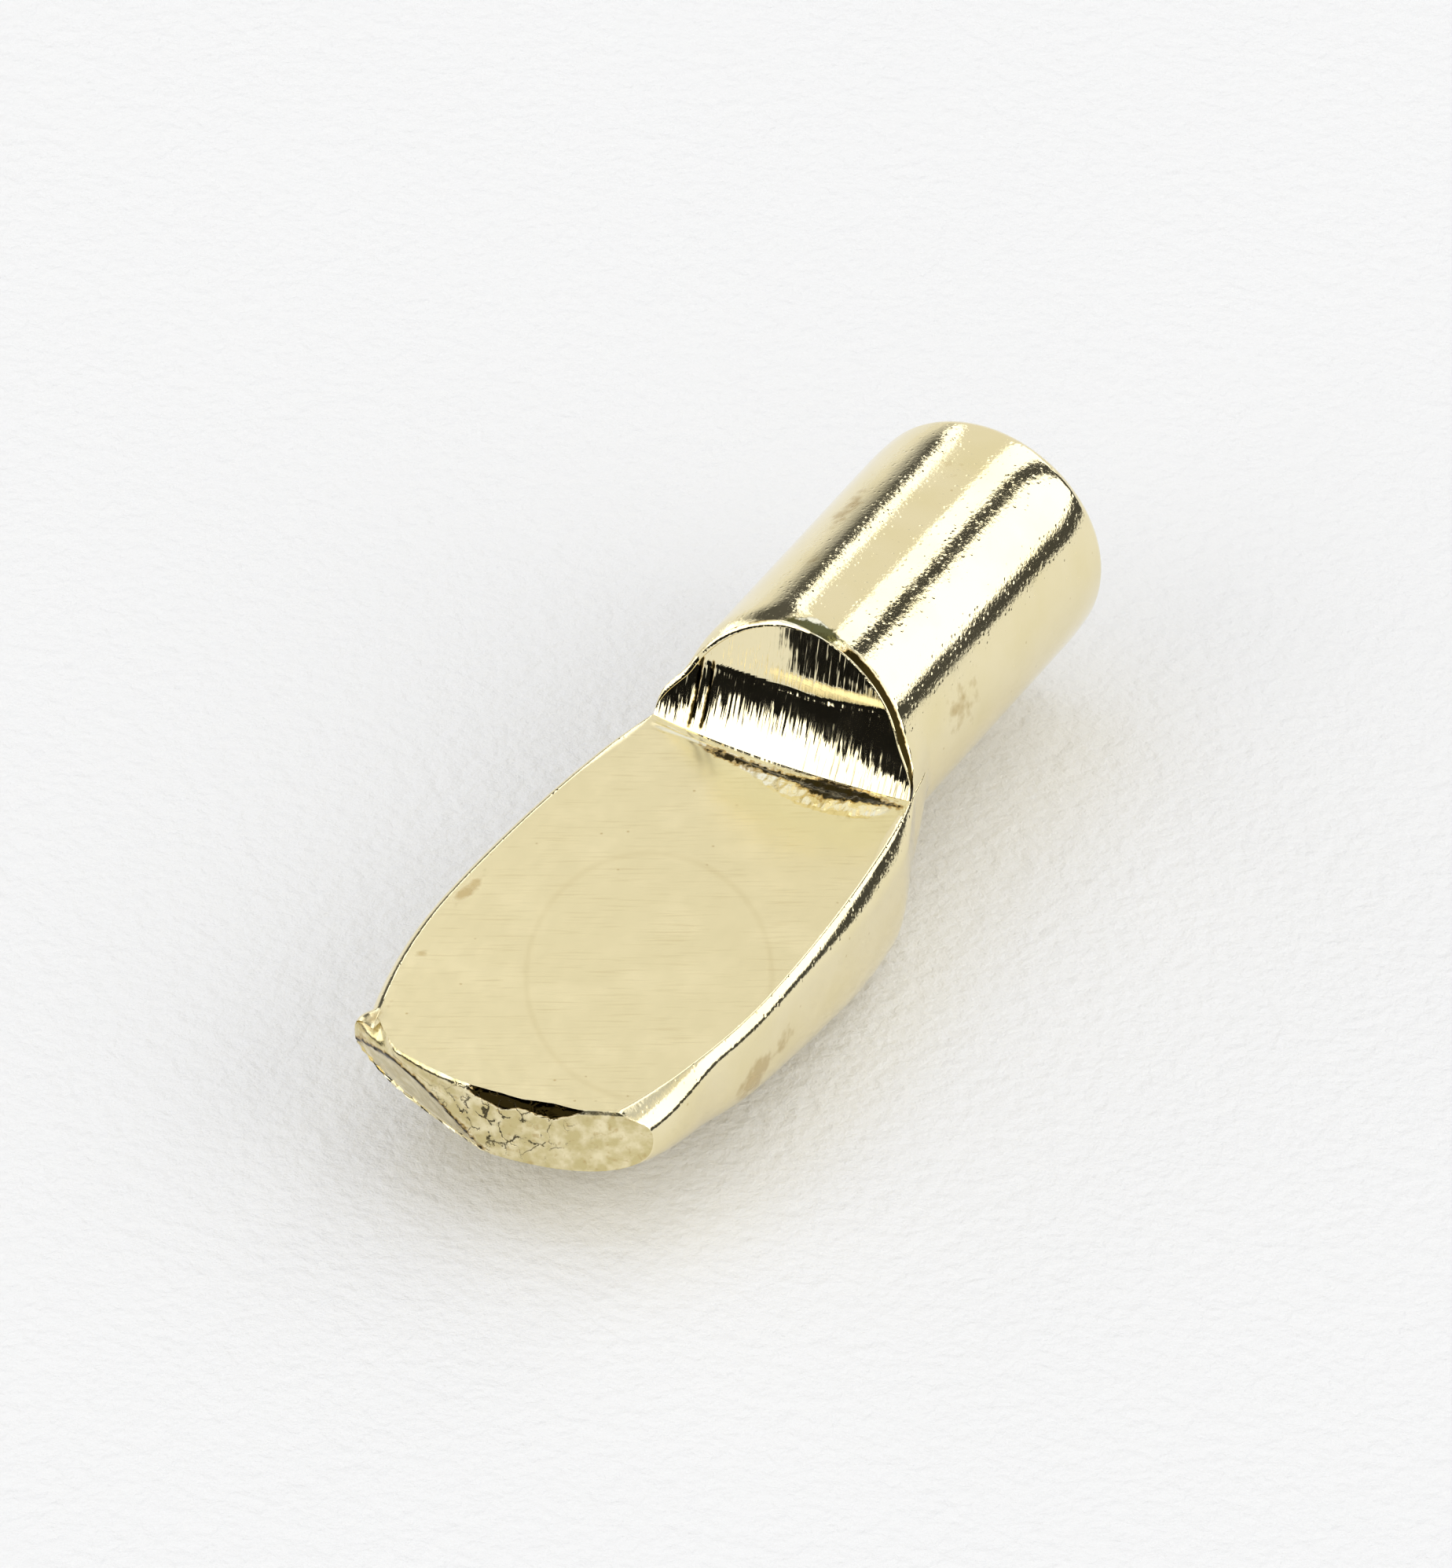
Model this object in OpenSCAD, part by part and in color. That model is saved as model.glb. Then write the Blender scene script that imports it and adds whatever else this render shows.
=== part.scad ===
// Spoon shelf support pin, cold-formed from one length of round wire.
// The origin is on the shank's axis, where the shank leaves the shoulder.
// +Y runs along the shank to its free end, and +Z is the normal of the flat seat.

/* [Shank] */
// Diameter of the shank, to slide into a quarter-inch hole
shank_d = 6.3; // [5:0.1:7]
// Length of the shank, from the shoulder to its free end
shank_len = 8.85; // [5:0.05:14]
// Radius of the rounded edge at the free end
shank_end_r = 0.5; // [0.2:0.1:1]

/* [Seat] */
// Distance from the shoulder to the foot of the step
step_y = 1.8; // [1.2:0.1:3]
// Length of the flat seat, from the foot of the step to the tip
seat_len = 14.05; // [12:0.05:16]
// Width of the flat seat at its widest
seat_w = 8.2; // [7.6:0.1:9]
// Distance from the shoulder to the widest part of the seat
widest_y = 9.5; // [8:0.1:11]
// Radius of each side of the seat in plan, from the widest part to the tip
nose_side_r = 16.5; // [14:0.5:25]
// Radius of the tip's front face in plan
tip_r = 7.5; // [6:0.5:15]

/* [Belly] */
// Depth of the belly below the seat where it is deepest
belly_depth = 4; // [3.6:0.05:5]
// Depth of the belly below the seat at the tip
tip_depth = 1.75; // [1:0.05:3]
// Distance from the shoulder to the deepest part of the belly
deepest_y = 2.6; // [2:0.1:6]
// How much of the belly's round the flat bottom of the die takes off, which leaves a flat to lie on
die_flat = 0.1; // [0.05:0.01:0.15]
// Overhang of the belly beyond the edge of the seat on each side
edge_roll = 0.3; // [0.1:0.01:0.5]
// Height of the rounded edge between the seat and the belly
edge_drop = 0.45; // [0.2:0.05:0.8]

/* [Step] */
// Radius of the step face's concave foot, left by the punch's nose
step_face_r = 5.7; // [5:0.1:6.5]
// Angle of the step face at its foot, back from the vertical
step_foot_angle = 34; // [28:1:40]
// Angle of the straight upper step face, back from the vertical
step_top_angle = 14; // [8:1:20]

/* [Hidden] */

shank_r = shank_d / 2;
seat_half_w = seat_w / 2;
tip_y = step_y + seat_len;
round_depth = belly_depth + die_flat;

// Radius of each side in plan, from just inside the shank's surface at the shoulder to the widest part
tuck = 0.03;
flare = seat_half_w - shank_r + tuck;
flare_r = (pow(widest_y, 2) + pow(flare, 2)) / (2 * flare);

// The blank's crown stays about as round as the shank, and flares to the blank's width at its base:
// how far it may rise above the shank, and how sharply it flares
crown_rise = 0.04;
flare_power = 8;
// The section's lower half goes from round at the shoulder to squarer, over this length
squaring_len = 1.5;
round_power = 2;
square_power = 3.4;
// The rounded edge grows to its full size over this stretch in front of the shoulder
roll_start = 0.8;
roll_len = 2.4;
least_roll = 0.1;

// Overlaps that keep the joined and cut shapes clear of shared faces
inside = 0.8;
beyond = 0.4;
punch_size = 12;

// Stations along the blank, and points round each section
stations = 34;
station_crowding = 1.25;
crown_steps = 20;
roll_steps = 3;
belly_steps = 24;
$fn = 96;

// Blend from 0 to 1 with level ends
function ease(t) = let(u = min(1, max(0, t))) u * u * (3 - 2 * u);
// Power of a cosine or sine that keeps its sign
function signed_pow(value, power) = sign(value) * pow(abs(value), power);

// Half-width of the blank at the seat's height, s millimetres from the shoulder towards the tip
function half_width(s) =
    let(side_r = s < widest_y ? flare_r : nose_side_r)
    seat_half_w - side_r + sqrt(pow(side_r, 2) - pow(s - widest_y, 2));

// Depth of the belly: a quarter ellipse behind its deepest point, then a rise to the tip
function depth(s) =
    s <= 0 ? half_width(s)
    : s < deepest_y ? shank_r + (round_depth - shank_r) * sqrt(1 - pow(1 - s / deepest_y, 2))
    : round_depth - (round_depth - tip_depth) * pow((s - deepest_y) / (tip_y - deepest_y), 2);

// Radius of the blank's crown at its top, and at an angle up from its base
function crown_top_r(s) = min(half_width(s), shank_r + crown_rise);
function crown_r(s, a) =
    crown_top_r(s) + (half_width(s) - crown_top_r(s)) * pow(abs(cos(a)), flare_power);

function roll_share(s) = max(least_roll, ease((s - roll_start) / roll_len));
function roll_out(s) = edge_roll * roll_share(s);
function roll_down(s) = edge_drop * roll_share(s);
function belly_power(s) = round_power + (square_power - round_power) * ease(s / squaring_len);

// Crown of the blank above the seat's height, from the right side to the left
function crown(s) = [
    for (i = [0 : crown_steps])
        let(a = 180 * i / crown_steps)
        [crown_r(s, a) * cos(a), crown_r(s, a) * sin(a)]
];

// Rounded edge on one side, where the seat rolls over into the belly
function rolled_edge(s, side) = [
    for (i = [1 : roll_steps])
        let(a = 90 * i / (roll_steps + 1))
        [side * (half_width(s) + roll_out(s) * sin(a)), -roll_down(s) * (1 - cos(a))]
];

// Belly below the rounded edges, from the left side to the right
function belly(s) = [
    for (i = [0 : belly_steps])
        let(a = 180 + 180 * i / belly_steps, power = 2 / belly_power(s))
        [
            (half_width(s) + roll_out(s)) * signed_pow(cos(a), power),
            -roll_down(s) + (depth(s) - roll_down(s)) * signed_pow(sin(a), power)
        ]
];

function reversed(list) = [for (i = [len(list) - 1 : -1 : 0]) list[i]];

// One closed section of the blank
function section(s) = concat(
    crown(s),
    rolled_edge(s, -1),
    belly(s),
    reversed(rolled_edge(s, 1))
);

// Solid through a list of like rings, each a closed loop of points
module loft(rings) {
    n = len(rings[0]);
    last = len(rings) - 1;
    points = [for (ring = rings) each ring];
    walls = [
        for (j = [0 : last - 1], i = [0 : n - 1])
            let(k = (i + 1) % n)
            each [
                [j * n + i, (j + 1) * n + k, j * n + k],
                [j * n + i, (j + 1) * n + i, (j + 1) * n + k]
            ]
    ];
    near_cap = [[for (i = [0 : n - 1]) i]];
    far_cap = [[for (i = [n - 1 : -1 : 0]) last * n + i]];
    polyhedron(points, concat(walls, near_cap, far_cap));
}

// The wire's end after it has filled the die, before the punch comes down
module filled_blank() {
    reach = tip_y + beyond + inside;
    loft([
        for (j = [0 : stations])
            let(s = reach * pow(j / stations, station_crowding) - inside)
            [for (p = section(s)) [p.x, -s, p.y]]
    ]);
}

module shank() {
    rotate([-90, 0, 0])
        rotate_extrude() {
            translate([0, -inside]) square([shank_r, inside + shank_len - shank_end_r]);
            square([shank_r - shank_end_r, shank_len]);
            intersection() {
                translate([shank_r - shank_end_r, shank_len - shank_end_r]) circle(shank_end_r);
                square([shank_r, shank_len]);
            }
        }
}

// Plan of the tip: everything behind the curved front face
module tip_plan() {
    translate([0, tip_r - tip_y]) circle(tip_r);
    translate([-punch_size, tip_r - tip_y]) square([2 * punch_size, tip_y]);
}

// Side view of the punch: a flat sole, and a round nose below a straight face that scrapes the step
module punch_profile() {
    nose_y = -step_y - step_face_r * cos(step_foot_angle);
    nose_z = step_face_r * sin(step_foot_angle);
    round_end = [nose_y + step_face_r * cos(step_top_angle), nose_z - step_face_r * sin(step_top_angle)];
    straight_rise = punch_size - round_end.y;
    front_y = -tip_y - inside - beyond;
    intersection() {
        translate([nose_y, nose_z]) circle(step_face_r);
        translate([-tip_y, 0]) square([tip_y, punch_size]);
    }
    polygon([
        [front_y, 0],
        [nose_y, 0],
        round_end,
        [round_end.x + straight_rise * tan(step_top_angle), punch_size],
        [front_y, punch_size]
    ]);
}

module punch() {
    rotate([90, 0, 90])
        linear_extrude(punch_size, center = true)
            punch_profile();
}

// The blank between the die's flat bottom and the tip's sheared face
module spoon() {
    intersection() {
        filled_blank();
        translate([0, 0, -belly_depth]) linear_extrude(punch_size) tip_plan();
    }
}

module shelf_pin() {
    color("#d9c98a")
        difference() {
            union() {
                shank();
                spoon();
            }
            punch();
        }
}

shelf_pin();
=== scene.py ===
# %% [markdown]
# # A spoon shelf pin, dressed for the camera
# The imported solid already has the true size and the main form. This lesson gives the pin the skin that a
# real one has: a raised lip where the punch scraped the step, a crumpled dent at its foot, a torn tip, and
# a bright brass plate over all of it. The solid comes in first, because the skin has to keep to its box.

import math

import bmesh
import bpy
import numpy as np
from mathutils import Matrix, Vector


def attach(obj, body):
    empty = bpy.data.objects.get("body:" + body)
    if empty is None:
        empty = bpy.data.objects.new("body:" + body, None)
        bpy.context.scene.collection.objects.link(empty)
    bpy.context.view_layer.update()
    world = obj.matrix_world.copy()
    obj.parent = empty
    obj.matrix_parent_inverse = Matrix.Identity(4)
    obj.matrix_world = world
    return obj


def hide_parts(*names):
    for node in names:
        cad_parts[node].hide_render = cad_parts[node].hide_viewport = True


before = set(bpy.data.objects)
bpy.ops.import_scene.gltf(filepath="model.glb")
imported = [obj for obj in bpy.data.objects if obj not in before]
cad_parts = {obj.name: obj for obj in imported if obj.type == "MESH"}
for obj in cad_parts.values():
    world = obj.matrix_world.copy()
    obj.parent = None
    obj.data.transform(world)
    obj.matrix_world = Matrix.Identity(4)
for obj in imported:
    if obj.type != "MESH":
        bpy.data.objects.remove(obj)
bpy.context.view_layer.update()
MM = 0.001

# %% [markdown]
# ## Camera
# A long lens from far away keeps parallel edges nearly parallel, as for small goods shot on a table. The
# camera is given by the direction it looks from, and by where on the pin its middle points.

# %% Camera
VIEW_AZIMUTH, VIEW_ELEVATION = math.radians(28.61), math.radians(36.44)
CAMERA_DISTANCE = 450 * MM
# Long side of the picture in pixels, and how many of them cover a millimetre at the pin
LONG_SIDE_PX, PX_PER_MM = 1995, 55.11
SENSOR_MM = 36.0
# Where the middle of the picture lies, in mm from the shoulder's centre, along the picture's own axes
AIM_RIGHT, AIM_UP, AIM_Y = -1.221, -0.566, -1.6

level = math.cos(VIEW_ELEVATION)
back = Vector((math.sin(VIEW_AZIMUTH) * level, -math.cos(VIEW_AZIMUTH) * level, math.sin(VIEW_ELEVATION)))
right = Vector((math.cos(VIEW_AZIMUTH), math.sin(VIEW_AZIMUTH), 0))
up = back.cross(right)
aim = (AIM_RIGHT * right + AIM_UP * up + Vector((0, AIM_Y, 0))) * MM

camera_data = bpy.data.cameras.new("camera")
camera_data.sensor_width = SENSOR_MM
camera_data.lens = SENSOR_MM * PX_PER_MM * (CAMERA_DISTANCE / MM) / LONG_SIDE_PX
camera_data.clip_start, camera_data.clip_end = 0.05, 10
camera = bpy.data.objects.new("camera", camera_data)
camera.matrix_world = Matrix.LocRotScale(
    aim + back * CAMERA_DISTANCE, Matrix((right, up, back)).transposed().to_quaternion(), None
)
bpy.context.collection.objects.link(camera)
bpy.context.scene.camera = camera
print("lens, mm:", round(camera_data.lens, 1))

# %% [markdown]
# ## Sizes
# The pin starts as one length of round wire. A die holds it from below while a flat punch presses the seat
# and scrapes the step. These are the solid's own sizes, in millimetres, with s measured from the shoulder
# towards the tip, so s is -y.

# %% Sizes
SHANK_R, SHANK_LEN = 3.15, 8.85
SEAT_HALF_W, WIDEST_S, NOSE_SIDE_R = 4.1, 9.5, 16.5
TIP_S, TIP_R = 15.85, 7.5
BELLY_DEPTH, ROUND_DEPTH, TIP_DEPTH, DEEPEST_S = 4.0, 4.1, 1.75, 2.6
# The flared sides start this far inside the shank
TUCK = 0.03
FLARE = SEAT_HALF_W - SHANK_R + TUCK
FLARE_R = (WIDEST_S**2 + FLARE**2) / (2 * FLARE)


def ease(t):
    """Blend from 0 to 1 with level ends."""
    t = np.clip(t, 0.0, 1.0)
    return t * t * (3 - 2 * t)


def half_width(s):
    """Half the width at the seat's height, s mm from the shoulder towards the tip."""
    side_r = np.where(s < WIDEST_S, FLARE_R, NOSE_SIDE_R)
    flared = SEAT_HALF_W - side_r + np.sqrt(side_r**2 - (np.clip(s, 0, TIP_S) - WIDEST_S) ** 2)
    return np.maximum(flared, SHANK_R)


def belly_depth(s):
    """Depth of the belly below the seat: a quarter ellipse behind the deepest point, then a rise to the tip."""
    rear = SHANK_R + (ROUND_DEPTH - SHANK_R) * np.sqrt(1 - (1 - np.clip(s / DEEPEST_S, 0, 1)) ** 2)
    rise = (np.maximum(s, DEEPEST_S) - DEEPEST_S) / (TIP_S - DEEPEST_S)
    return rear - (ROUND_DEPTH - TIP_DEPTH) * rise**2


print("half-width at its widest and at the tip, mm:", np.round(half_width(np.array([WIDEST_S, TIP_S])), 2))

# %% [markdown]
# ## Studio
# Bright metal has little colour of its own and mostly shows the room, so the room is planned like a real
# small-goods set: pale walls, large soft boxes, and dark cards between them that draw the dark lines.
# One function adds a node with its settings and links, and every tree in this file is built with it.

# %% Node and colour helpers
def add_node(tree, kind, sockets=None, **settings):
    """Add a node, set its properties, and fill or link its sockets. A node as a value sends its first output."""
    # A kind without Node in its name is a shader node
    node = tree.nodes.new(kind if "Node" in kind else f"ShaderNode{kind}")
    for name, value in settings.items():
        setattr(node, name, value)
    for socket, value in (sockets or {}).items():
        value = value.outputs[0] if isinstance(value, bpy.types.Node) else value
        if isinstance(value, bpy.types.NodeSocket):
            tree.links.new(value, node.inputs[socket])
        else:
            node.inputs[socket].default_value = value
    return node


# A Mix node keeps its colour sockets at these places
MIX_A, MIX_B, MIX_RESULT = 6, 7, 2


def linear(hex_colour):
    """Turn an sRGB hex colour into the linear RGBA that Blender's sockets expect."""
    channels = [int(hex_colour[i : i + 2], 16) / 255 for i in (1, 3, 5)]
    return tuple(c / 12.92 if c <= 0.04045 else ((c + 0.055) / 1.055) ** 2.4 for c in channels) + (1.0,)


print("mid grey in linear light:", round(linear("#808080")[0], 3))

# %% [markdown]
# Each panel is a soft-edged rectangle on the sky: a span of heading, from +Y towards +X, and a span of
# height above the table, both in degrees. The world's colour starts as the walls, and each panel is mixed
# over it in turn. The light overhead is cool, because the seat shows it by way of the step, and two bounces
# off brass would turn a neutral light yellow.

# %% Studio walls and panels
WALL = (0.89, 0.875, 0.83, 1)
LAMP, CEILING, SKYLIGHT = (1, 1, 1), (0.97, 0.985, 1.02), (0.71, 0.78, 1.0)
PANELS = {
    # name: (heading from, to, height from, to, softness, brightness, tint)
    "ceiling": (-400, 400, 49, 100, 3, 0.7, CEILING),
    "sky panel": (-150, -30, 51, 100, 4, 1.55, SKYLIGHT),
    "top right box": (-25, 150, 56, 100, 4, 1.2, CEILING),
    "left box": (-124, -62, -3, 24, 2, 2.2, LAMP),
    "front box": (-177, -122, 8, 48, 2, 2.2, LAMP),
    "camera side": (118, 168, -10, 48, 6, 1.6, LAMP),
    "cream panel": (-5.2, 14.3, 12, 62, 1, 1.87, LAMP),
    "main box": (24.6, 76, 10, 42, 1.2, 1.92, LAMP),
    "right box": (75, 114, 10, 50, 2, 2.9, LAMP),
    "gap card": (14.3, 24.6, -10, 50, 1, 0.07, LAMP),
    "table card": (12, 113, -10, 9.8, 2, 0.07, LAMP),
    "left grey card": (-66, -36, 9, 38, 10, 0.42, LAMP),
    "left card": (-62, -37, 15.5, 36, 4, 0.10, LAMP),
    "thin strip": (-38.3, -33, 14, 44, 0.8, 1.87, LAMP),
}

world = bpy.data.worlds.new("studio")
world.use_nodes = True
sky = world.node_tree
sky.nodes.clear()
direction = add_node(sky, "TexCoord").outputs["Generated"]
axes = add_node(sky, "SeparateXYZ", {0: direction}).outputs
heading = add_node(sky, "Math", {0: axes["X"], 1: axes["Y"]}, operation="ARCTAN2")
height = add_node(sky, "Math", {0: axes["Z"]}, operation="ARCSINE")
degrees = [add_node(sky, "Math", {0: angle}, operation="DEGREES") for angle in (heading, height)]

light = WALL
for name, (h0, h1, e0, e1, softness, brightness, tint) in PANELS.items():
    outside = []
    for angle, low, high in ((degrees[0], h0, h1), (degrees[1], e0, e1)):
        from_middle = add_node(sky, "Math", {0: angle, 1: (low + high) / 2}, operation="SUBTRACT")
        distance = add_node(sky, "Math", {0: from_middle}, operation="ABSOLUTE")
        outside.append(add_node(sky, "Math", {0: distance, 1: (high - low) / 2}, operation="SUBTRACT"))
    edge = add_node(sky, "Math", {0: outside[0], 1: outside[1]}, operation="MAXIMUM")
    sockets = {"Value": edge, "From Min": softness / 2, "From Max": -softness / 2}
    cover = add_node(sky, "MapRange", sockets, interpolation_type="SMOOTHSTEP")
    sockets = {"Factor": cover, MIX_A: light, MIX_B: [brightness * channel for channel in tint] + [1]}
    light = add_node(sky, "Mix", sockets, data_type="RGBA", label=name).outputs[MIX_RESULT]
print("panels in the studio:", len(PANELS))

# %% [markdown]
# The camera sees plain white past the paper's edge, while the metal keeps seeing the whole studio.

# %% Studio light
BACKDROP = linear("#F8F8F8")

studio_light = add_node(sky, "Background", {"Color": light, "Strength": 1.0})
backdrop = add_node(sky, "Background", {"Color": BACKDROP, "Strength": 1.0})
seen_by_camera = add_node(sky, "LightPath").outputs["Is Camera Ray"]
shown = add_node(sky, "MixShader", {0: seen_by_camera, 1: studio_light, 2: backdrop})
add_node(sky, "OutputWorld", {"Surface": shown})
bpy.context.scene.world = world
bpy.context.scene.view_settings.view_transform = "Standard"
print("nodes in the studio:", len(sky.nodes))

# %% [markdown]
# The pin lies on heavy matt paper, which takes its shadow and the brass's warm glow. The paper's fibres show
# as a faint, cloudy grain about half a millimetre across.

# %% Paper
PAPER_WHITE = linear("#DCDBD8")
PAPER_SIZE, FIBRE_WIDTH, FIBRE_DEPTH = 900 * MM, 0.45 * MM, 0.1 * MM
# The plate's own relief stands a little proud of the solid, and the paper gives way under it, in mm
PAPER_GIVES = 0.002
TABLE_Z = -(BELLY_DEPTH + PAPER_GIVES) * MM


def flat_sheet(name, corners, finish):
    """Add a sheet with four corners and one finish to the scene."""
    mesh = bpy.data.meshes.new(name)
    mesh.from_pydata(corners, [], [(0, 1, 2, 3)])
    mesh.materials.append(finish)
    sheet = bpy.data.objects.new(name, mesh)
    bpy.context.collection.objects.link(sheet)
    return sheet


matt_paper = bpy.data.materials.new("matt_paper")
matt_paper.use_nodes = True
pulp = matt_paper.node_tree
pulp.nodes.clear()
place = add_node(pulp, "TexCoord").outputs["Object"]
sockets = {"Vector": place, "Scale": 1 / FIBRE_WIDTH, "Detail": 4.0, "Roughness": 0.6}
fibres = add_node(pulp, "TexNoise", sockets)
dimples = add_node(pulp, "Bump", {"Height": fibres, "Strength": 1.0, "Distance": FIBRE_DEPTH})
sockets = {"Base Color": PAPER_WHITE, "Roughness": 0.9, "Specular IOR Level": 0.0, "Normal": dimples}
matt = add_node(pulp, "BsdfPrincipled", sockets)
add_node(pulp, "OutputMaterial", {"Surface": matt})

half = PAPER_SIZE / 2
corners = [(x, y, TABLE_Z) for x, y in ((-half, -half), (half, -half), (half, half), (-half, half))]
paper = flat_sheet("paper", corners, matt_paper)
print("table at z, mm:", TABLE_Z / MM)

# %% [markdown]
# One black card stands close to the tip, where only the step face looks at it, and draws the dark band
# across the scraped step. It shows in reflections alone, so it doesn't darken the paper.

# %% Black card in front of the tip
CARD_HEADING, CARD_DISTANCE = math.radians(-157), 42 * MM
CARD_WIDTH, CARD_TOP = 90 * MM, 7.2 * MM

velvet = bpy.data.materials.new("black_velvet_card")
velvet.use_nodes = True
velvet_sockets = velvet.node_tree.nodes["Principled BSDF"].inputs
velvet_sockets["Base Color"].default_value = linear("#141414")
velvet_sockets["Specular IOR Level"].default_value = 0.0

card_middle = Vector((math.sin(CARD_HEADING), math.cos(CARD_HEADING), 0)) * CARD_DISTANCE
card_side = Vector((math.cos(CARD_HEADING), -math.sin(CARD_HEADING), 0)) * CARD_WIDTH / 2
ends = ((-1, TABLE_Z), (1, TABLE_Z), (1, CARD_TOP), (-1, CARD_TOP))
corners = [card_middle + side * card_side + Vector((0, 0, z)) for side, z in ends]
card = flat_sheet("black_card", corners, velvet)
card.visible_camera = card.visible_diffuse = card.visible_shadow = card.visible_transmission = False
print("card's top, mm:", CARD_TOP / MM)

# %% [markdown]
# ## The body as a tube of rings
# The whole skin is one grid: rings stand one behind the other from the tip to the shank's end, and each
# ring starts at the left edge of the seat, crosses the top to the right edge and comes back underneath.
# A grid is easy to shape, because every mark below is one formula on its points.

# %% Columns of the grid
TOP_STEPS, UNDER_STEPS, EDGE_CROWDING = 186, 80, 0.85
turn = np.radians(np.linspace(-90, 90, TOP_STEPS + 1))
turn_deg = np.degrees(turn)


def crowded(share, crowding):
    """Draw even shares of a way towards both of its ends."""
    return share - crowding * np.sin(2 * np.pi * share) / (2 * np.pi)


# Underneath, the columns crowd towards the two edges of the seat, where the surface turns over
under_share = crowded(np.linspace(0, 1, UNDER_STEPS + 1)[1:-1], EDGE_CROWDING)


def around(radius, angle, y):
    """Points at a radius from the pin's axis and an angle from its top."""
    return np.stack([radius * np.sin(angle), y, radius * np.cos(angle)], axis=-1)


print("points round each ring:", turn.size + under_share.size)

# %% [markdown]
# ## The underside
# Below the seat the edge turns over into the belly, and the belly is a squared ellipse that a die pressed. The
# left edge is an even round. The right one was worn towards a chamfer, so its bend is given as a list of
# angles, and it spreads out near the tip, where the metal had more room to flow. At the left corner of the tip
# the shear pushed a small nub outwards.

# %% Underside of a ring
EDGE_ROLL, EDGE_DROP = 0.3, 0.45
ROLL_START, ROLL_LEN, LEAST_ROLL = 0.8, 2.4, 0.1
# The right edge's bend near the step and near the tip: shares of the way round it, and its lean there in degrees
REAR_BEND = ([0, 0.07, 0.20, 0.78, 1], [0, 33, 53, 62, 90])
FRONT_BEND = ([0, 0.10, 0.43, 0.64, 1], [0, 32, 51, 62, 90])
BEND_CHANGE_S, BEND_CHANGE_LEN, BEND_POINTS = 4.0, 7.0, 201
# What the bulge of the right flank, the right corner and the nub add to the roll and the drop, in mm
BULGE_S, BULGE, BULGE_ROLL, BULGE_DROP = [1.0, 3.0, 5.0, 9.0], [0, 1, 1, 0], 0.10, 0.15
CORNER_START_S, CORNER_LEN, CORNER_ROLL, CORNER_DROP = 11.8, 3.2, 0.42, 0.25
NUB_START_S, NUB_LEN, NUB_ROLL = 14.2, 0.45, 0.3
# How square the belly is, by distance from the shoulder
POWER_S, POWER = [0, 1.5, 4.0, 6.5, 10.5, 13.0, 15.5], [2.0, 4.0, 4.1, 3.6, 3.5, 3.3, 2.6]
# Share of the underside's points that lie on each rolled edge
ROLL_SHARE = 0.14

bend_at = np.linspace(0, 1, BEND_POINTS)


def bend_curve(turned, s, part):
    """How far a bend has gone, from 0 to 1, outwards (part is np.cos) or downwards (np.sin)."""
    rear, front = (part(np.radians(np.interp(bend_at, *bend))) for bend in (REAR_BEND, FRONT_BEND))
    rear, front = (np.interp(turned, bend_at, np.cumsum(steps) / steps.sum()) for steps in (rear, front))
    return rear + (front - rear) * ease((s - BEND_CHANGE_S) / BEND_CHANGE_LEN)


def under_section(share, s):
    """Points (x, z) round the underside, from the right edge of the seat (0) to the left edge (1)."""
    # The roll is nothing at the shoulder and whole a few millimetres in front of it
    grown = np.maximum(LEAST_ROLL * ease(s / ROLL_START), ease((s - ROLL_START) / ROLL_LEN))
    on_right = share < 0.5
    bulge = ease(np.interp(s, BULGE_S, BULGE)) * on_right
    corner = ease((s - CORNER_START_S) / CORNER_LEN) * on_right
    nub = ease((s - NUB_START_S) / NUB_LEN) * ~on_right
    roll = EDGE_ROLL * grown + BULGE_ROLL * bulge + CORNER_ROLL * corner + NUB_ROLL * nub
    drop = EDGE_DROP * grown + BULGE_DROP * bulge + CORNER_DROP * corner
    turned = np.clip(np.minimum(share, 1 - share) / ROLL_SHARE, 0, 1)
    round_out, round_down = np.sin(turned * np.pi / 2), 1 - np.cos(turned * np.pi / 2)
    edge_x = half_width(s) + roll * np.where(on_right, bend_curve(turned, s, np.cos), round_out)
    edge_z = -drop * np.where(on_right, bend_curve(turned, s, np.sin), round_down)
    belly_turn = np.clip((share - ROLL_SHARE) / (1 - 2 * ROLL_SHARE), 0, 1) * np.pi
    power = np.interp(s, POWER_S, POWER)
    across, deep = half_width(s) + roll, belly_depth(s) - drop
    cos, sin = np.abs(np.cos(belly_turn)), np.sin(belly_turn)
    reach = ((cos / across) ** power + (sin / deep) ** power) ** (-1 / power)
    x = np.where(on_right, 1, -1) * np.where(turned < 1, edge_x, reach * cos)
    z = np.where(turned < 1, edge_z, -drop - reach * sin)
    return x, np.maximum(z, -BELLY_DEPTH)


print("belly at its deepest, mm:", round(float(-under_section(np.array([0.5]), np.array([DEEPEST_S]))[1][0]), 2))

# %% [markdown]
# Each ring is drawn with many points, and keeps one for each column of the grid. The y of a point depends on
# its x, and its x on its y, so the two are worked out in turn until they settle.

# %% Underside rings
DENSE_POINTS, SETTLING_ROUNDS = 360, 8


def evenly_along(points):
    """Pick the underside's columns by their shares of the way along each dense ring of points."""
    picked = np.empty((points.shape[0], under_share.size, 3))
    for row, ring in enumerate(points):
        lengths = np.concatenate([[0], np.cumsum(np.linalg.norm(np.diff(ring, axis=0), axis=1))])
        for axis in range(3):
            picked[row, :, axis] = np.interp(under_share * lengths[-1], lengths, ring[:, axis])
    return picked


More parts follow.
